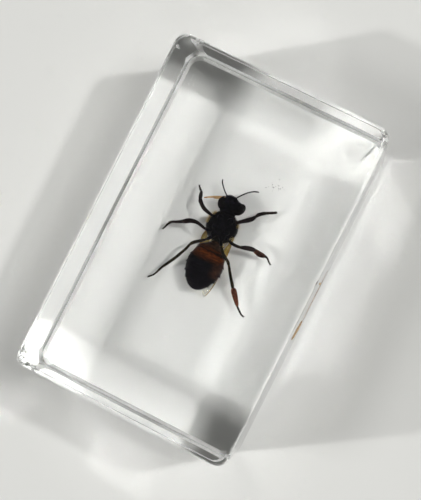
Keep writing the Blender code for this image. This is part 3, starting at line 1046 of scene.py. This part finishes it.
def coat(name, centre, radii, count, length, radius, material, keep, lean):
    """Hair over an ellipsoid; keep(normal) is how likely a hair is to stay."""
    bm = bmesh.new()
    centre = Vector(centre)
    made = 0
    while made < count:
        n = random_unit()
        root = centre + Vector((n.x * radii[0], n.y * radii[1], n.z * radii[2]))
        normal = Vector((n.x / radii[0], n.y / radii[1], n.z / radii[2])).normalized()
        if RNG.random() > keep(normal):
            continue
        direction = normal + random_unit() * 0.45 + Vector(lean)
        add_hair(bm, root - normal * 0.05, direction, length * RNG.uniform(0.55, 1.15),
                 radius, Vector(lean) + random_unit() * 0.3)
        made += 1
    finish_piece(name, bm, material)


def fur(straw, pale, dark):
    """The thorax has straw tufts at its sides and pale hair on its hidden back."""
    def flanks(n):
        return max(0.0, 1.0 - abs(n.z + 0.1) * 1.6) * (1.0 if abs(n.y) < 0.93 else 0.3)

    def tufts(n):
        left = n.x < -0.7 and -0.15 < n.y < 0.75
        right = n.x > 0.75 and (n.y > 0.35 or n.y < -0.25)
        return (1.0 if left else 0.45 if right else 0.0) if abs(n.z) < 0.5 else 0.0

    def belly(n):
        return 1.0 if n.z > 0.1 else 0.0

    def back(n):
        return 1.0 if n.z < -0.6 else 0.0

    coat("bee_fur_thorax_flanks", *THORAX, 4200, 0.24, 0.008, dark, flanks, (0, -0.1, 0))
    coat("bee_fur_thorax_tufts", *THORAX, 720, 0.5, 0.009, straw, tufts, (0, -0.1, -0.1))
    coat("bee_fur_thorax_belly", *THORAX, 4200, 0.26, 0.008, dark, belly, (0, -0.3, 0))
    coat("bee_fur_thorax_back", *THORAX, 5200, 0.34, 0.008, pale, back, (0, -0.25, 0))
    centre, radii, _ = HEAD_FORMS[1]
    coat("bee_fur_head", centre, radii, 1500, 0.26, 0.007, dark,
         lambda n: 1.0 if abs(n.x) < 0.75 else 0.1, (0, 0.1, 0))
    centre, radii, _ = HEAD_FORMS[2]
    coat("bee_fur_crown", centre, radii, 700, 0.2, 0.007, dark, lambda n: 1.0, (0, 0, 0))
    abdomen_fur(dark)


ABDOMEN_HAIR_TRIES = 5200
ABDOMEN_HAIR_SPAN = (-6.1, -0.3)
ABDOMEN_HAIR_LENGTHS = (0.1, 0.22)
ABDOMEN_HAIR_RADIUS = 0.0065


def abdomen_fur(dark):
    """Hair that lies back along the abdomen, thickest at the ends of its plates."""
    bm = bmesh.new()
    for _ in range(ABDOMEN_HAIR_TRIES):
        y = RNG.uniform(*ABDOMEN_HAIR_SPAN)
        angle = RNG.uniform(0.0, 2.0 * math.pi)
        near = min(abs(y - e - 0.12) for e in PLATE_ENDS)
        if RNG.random() > 0.3 + 0.7 * math.exp(-(near / 0.16) ** 2):
            continue
        root = abdomen_point(y, angle)
        normal = Vector((math.cos(angle), 0.1, math.sin(angle) / ABDOMEN_FLATTENING))
        direction = (normal.normalized() * 0.5 + Vector((0, -1.0, 0))
                     + random_unit() * 0.25)
        add_hair(bm, root, direction, RNG.uniform(*ABDOMEN_HAIR_LENGTHS),
                 ABDOMEN_HAIR_RADIUS, Vector((0, -0.3, 0)))
    finish_piece("bee_fur_abdomen", bm, dark)


def bee():
    shell = chitin("bee_shell", (0.0015, 0.0016, 0.003), (0.006, 0.005, 0.009), 2500.0)
    purple = chitin("bee_leg_dark", (0.007, 0.005, 0.006), (0.030, 0.018, 0.017), 3500.0)
    olive = chitin("bee_leg_olive", (0.010, 0.008, 0.005), (0.040, 0.030, 0.016), 3500.0)
    red = chitin("bee_leg_red", (0.10, 0.030, 0.018), (0.26, 0.085, 0.045), 4200.0)
    foot = chitin("bee_foot", (0.012, 0.008, 0.006), (0.045, 0.028, 0.02), 4500.0)
    tongue = chitin("bee_tongue_amber", (0.34, 0.17, 0.06), (0.66, 0.42, 0.20), 3000.0)
    vein = chitin("bee_wing_vein", (0.20, 0.10, 0.025), (0.42, 0.24, 0.07), 4000.0)
    pale = hair_material("bee_hair_pale", (0.26, 0.12, 0.03), (0.52, 0.30, 0.10))
    straw = hair_material("bee_hair_straw", (0.50, 0.34, 0.12), (0.82, 0.66, 0.34))
    dark = hair_material("bee_hair_dark", (0.004, 0.003, 0.003), (0.022, 0.016, 0.012))
    membrane = membrane_material()

    head_and_thorax(shell, eye_material())
    abdomen(abdomen_material())
    materials = {}
    for name in LEGS:
        main = olive if name.startswith("hind") else purple
        materials[name] = {"coxa": shell, "femur": main, "tibia": main,
                           "basitarsus": main, "tarsus": foot}
    materials["hind_right"]["basitarsus"] = red
    materials["middle_right"]["basitarsus"] = chitin(
        "bee_leg_rust", (0.035, 0.014, 0.010), (0.13, 0.05, 0.032), 4200.0)
    legs(materials, hair_material("bee_bristle", (0.012, 0.009, 0.006), (0.05, 0.035, 0.022)))
    feelers_and_tongue(shell, tongue)
    wing("bee_right_wing", RIGHT_WING, -1.86, 0.7, membrane, vein, True)
    wing("bee_left_wing", LEFT_WING, -1.72, 0.6, membrane, vein, False)
    fur(straw, pale, dark)


# ------------------------------------------------------------------- studio

TABLE_SIZE = 3000.0
# The table lies a hair below the block, so that their faces don't share a plane
TABLE_HEIGHT = -0.04
# Its painted pool of light: the tone at the block and away from it, and where it falls off,
# counted from the block's middle in half widths and half lengths
POOL_OF_LIGHT_TONE = (0.79, 0.79, 0.765)
TABLE_TONE_OUTSIDE_POOL = (0.70, 0.70, 0.672)
POOL_OF_LIGHT_FALLOFF = (0.9, 1.7)

# Each lamp: the direction towards it, how wide it looks in degrees, and its power
LAMPS = {
    "lamp_right": ((0.499, 0.362, 0.788), 3.6, 1.00),
    "lamp_right_high": ((0.395, 0.227, 0.890), 16.0, 0.73),
    "lamp_left": ((-0.667, -0.467, 0.581), 2.8, 0.90),
    "lamp_left_high": ((-0.560, -0.378, 0.737), 14.0, 0.68),
}

# The room's tone from the horizon (0) to overhead (1)
ROOM = (
    (0.0, (0.82, 0.82, 0.80)), (0.20, (0.77, 0.77, 0.76)),
    (0.54, (0.13, 0.13, 0.13)), (1.0, (0.085, 0.085, 0.085)),
)


def table_top():
    """A pale table with a painted pool of light: lighter at the block, falling off softly
    away from it.
    """
    bpy.ops.mesh.primitive_plane_add(
        size=TABLE_SIZE * MM, location=(0.0, 0.0, TABLE_HEIGHT * MM))
    table = bpy.context.object
    table.name = "table_top"
    material, tree, shader = new_material("pale_table_painted_light_pool")
    away = tree.nodes.new("ShaderNodeVectorMath")
    away.operation = "LENGTH"
    halves = (1.0 / (BLOCK.x / 2) / MM, 1.0 / (BLOCK.y / 2) / MM, 0.0)
    tree.links.new(scaled_coordinates(tree, halves), away.inputs[0])
    # Painted light: the table's colour is lighter round the block and darker away from it,
    # standing in for lamp falloff
    tree.links.new(
        mix(tree, map_range(tree, away.outputs["Value"], *POOL_OF_LIGHT_FALLOFF),
            POOL_OF_LIGHT_TONE, TABLE_TONE_OUTSIDE_POOL),
        shader.inputs["Base Color"])
    shader.inputs["Roughness"].default_value = 0.75
    table.data.materials.append(material)


def lamp(name, direction, angle, power):
    """A distant lamp; angle is how wide it looks, in degrees."""
    light = bpy.data.lights.new(name, "SUN")
    light.angle = math.radians(angle)
    light.energy = power
    lamp_object = bpy.data.objects.new(name, light)
    bpy.context.scene.collection.objects.link(lamp_object)
    lamp_object.rotation_euler = Vector(direction).to_track_quat("Z", "Y").to_euler()


def room():
    """A pale room: soft light from all round the horizon, dimmer overhead."""
    world = bpy.data.worlds.new("room")
    bpy.context.scene.world = world
    world.use_nodes = True
    tree = world.node_tree
    sky = tree.nodes["Background"]
    place = tree.nodes.new("ShaderNodeTexCoord")
    parts = tree.nodes.new("ShaderNodeSeparateXYZ")
    tree.links.new(place.outputs["Generated"], parts.inputs["Vector"])
    tree.links.new(ramp(tree, parts.outputs["Z"], ROOM), sky.inputs["Color"])


def studio():
    table_top()
    for name, (direction, angle, power) in LAMPS.items():
        lamp(name, direction, angle, power)
    room()
    scene = bpy.context.scene
    scene.view_settings.view_transform = "Standard"
    scene.cycles.sample_clamp_indirect = 0.0
    scene.cycles.blur_glossy = 0.0
    scene.cycles.use_guiding = True


def camera():
    """Above the block and a little to its right, turned with the photograph."""
    turn = math.radians(26.9)
    pixels_per_mm, picture_height, sensor_height = 8.57, 500.0, 24.0
    eye = Vector((28.0, -1.9, 195.0 + BLOCK.z))
    target = Vector((1.14, 0.23, BLOCK.z))
    back = (eye - target).normalized()
    up = Vector((-math.sin(turn), math.cos(turn), 0.0))
    up = (up - back * up.dot(back)).normalized()
    right = up.cross(back)
    data = bpy.data.cameras.new("camera")
    data.sensor_fit = "VERTICAL"
    data.sensor_height = sensor_height
    data.lens = pixels_per_mm * (eye - target).length * sensor_height / picture_height
    data.clip_start = 1.0 * MM
    data.clip_end = 10000.0 * MM
    view = bpy.data.objects.new("camera", data)
    bpy.context.scene.collection.objects.link(view)
    eye = eye * MM
    view.matrix_world = Matrix((
        (right.x, up.x, back.x, eye.x), (right.y, up.y, back.y, eye.y),
        (right.z, up.z, back.z, eye.z), (0.0, 0.0, 0.0, 1.0)))
    bpy.context.scene.camera = view


camera()
studio()
resin_block(resin_material())
resin_marks()
bee()
